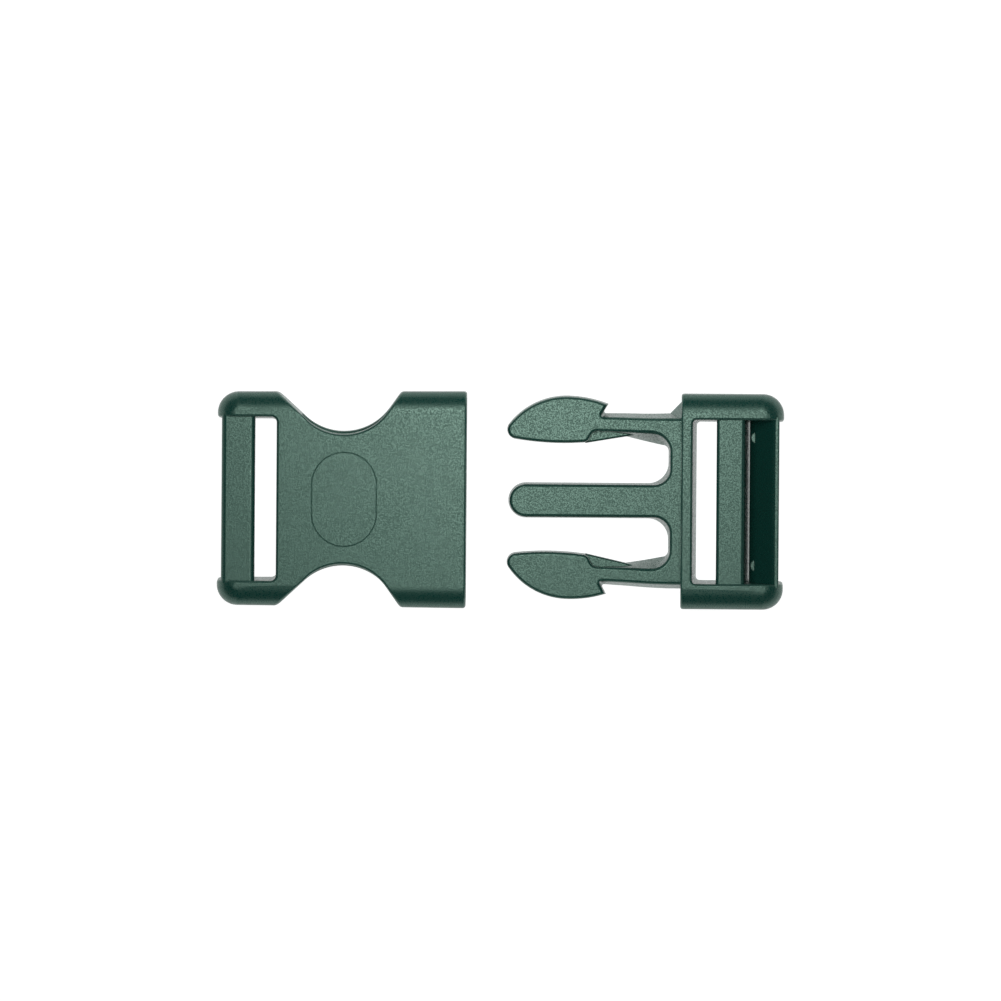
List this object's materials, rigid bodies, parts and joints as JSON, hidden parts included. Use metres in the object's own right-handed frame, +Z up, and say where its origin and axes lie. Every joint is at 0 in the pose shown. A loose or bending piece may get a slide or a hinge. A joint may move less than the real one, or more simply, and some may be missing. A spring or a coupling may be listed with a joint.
{
  "type": "side release buckle",
  "caption": "Plastic side release buckle for strap webbing, unfastened: waisted socket with a strap bar, and plug with centre prong, sprung side arms and ladder lock.",
  "frame": {"origin": "under the middle of the two halves as they lie, on the surface they lie on", "axes": "+X from the socket's strap end to the plug's strap end, +Y across, +Z up"},
  "size_m": [0.0928, 0.0356, 0.011],
  "materials": {
    "green_plastic": "fine spark-eroded satin, dark green"
  },
  "bodies": {
    "socket": {"socket_body": "green_plastic"},
    "plug": {"plug_frame": "green_plastic"},
    "arm_left": {"side_arm_left": "green_plastic"},
    "arm_right": {"side_arm_right": "green_plastic"}
  },
  "joints": [
    {"name": "insertion", "type": "slide", "parent": "socket", "child": "plug", "axis": [-1, 0, 0], "range_m": [0, 0.0349]},
    {"name": "squeeze_left", "type": "hinge", "parent": "plug", "child": "arm_left", "pos_m": [0.0269, 0.01175, 0.0055], "axis": [0, 0, 1], "range_deg": [0, 12.1]},
    {"name": "squeeze_right", "type": "hinge", "parent": "plug", "child": "arm_right", "pos_m": [0.0269, -0.01175, 0.0055], "axis": [0, 0, -1], "range_deg": [0, 12.1]}
  ],
  "couplings": [
    {"joint": "squeeze_left", "follows": "insertion", "rad_per_m": 6},
    {"joint": "squeeze_right", "follows": "insertion", "rad_per_m": 6}
  ]
}
